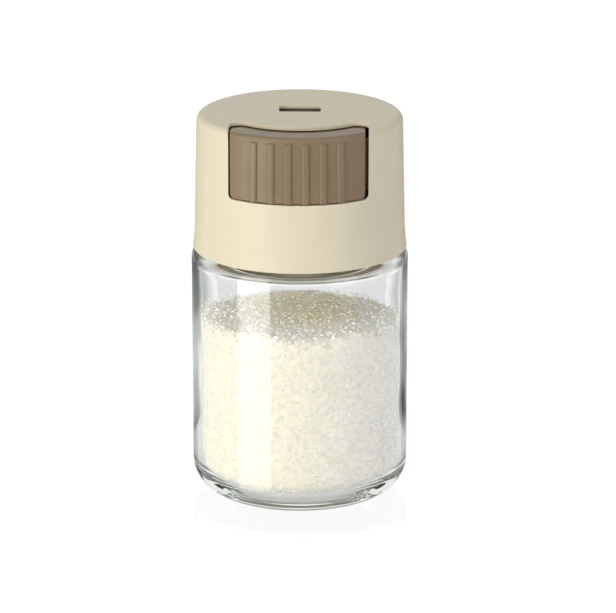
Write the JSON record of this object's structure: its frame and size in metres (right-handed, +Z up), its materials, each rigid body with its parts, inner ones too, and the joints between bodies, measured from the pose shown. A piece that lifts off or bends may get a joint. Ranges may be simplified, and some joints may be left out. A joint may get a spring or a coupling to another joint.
{
  "type": "metering salt dispenser jar",
  "caption": "Glass table-top spice jar with a screw cap whose side push button slides a metering block and lets one dose out of the roof.",
  "frame": {"origin": "centre of the base, on the surface the jar stands on", "axes": "+Z up along the jar's axis, -Y towards the button, +X to the right as seen from the button"},
  "size_m": [0.06, 0.06, 0.108],
  "materials": {
    "glass": "clear, faintly green at the edges",
    "salt": "coarse white crystals",
    "silicone": "matte translucent white",
    "brown_silicone": "matte",
    "white_plastic": "satin",
    "brown_plastic": "satin",
    "spring_steel": "drawn wire",
    "cream_plastic": "satin"
  },
  "bodies": {
    "jar": {"glass_jar": "glass", "salt_fill": "salt"},
    "seal": {"lip_seal": "silicone"},
    "cap": {"cap_shell": "cream_plastic", "thread_collar": "white_plastic", "funnel_tower": "white_plastic", "inlet_seal": "silicone", "outlet_seal": "brown_silicone", "return_spring_left": "spring_steel", "return_spring_right": "spring_steel"},
    "button": {"push_button": "brown_plastic", "metering_slider": "brown_plastic"}
  },
  "joints": [
    {"name": "cap_lift", "type": "slide", "parent": "jar", "child": "seal", "axis": [0, 0, 1], "range_m": [0, 0.00601]},
    {"name": "cap_turn", "type": "hinge", "parent": "seal", "child": "cap", "pos_m": [0, 0, 0.078], "axis": [0, 0, 1], "range_deg": [0, 540]},
    {"name": "button_press", "type": "slide", "parent": "cap", "child": "button", "axis": [0, 1, 0], "range_m": [0, 0.0052], "stiffness_N_per_m": 670, "springref_m": -0.0015, "deforming": ["return_spring_left", "return_spring_right"]}
  ],
  "couplings": [
    {"joint": "cap_lift", "follows": "cap_turn", "m_per_rad": 0.00063662}
  ]
}
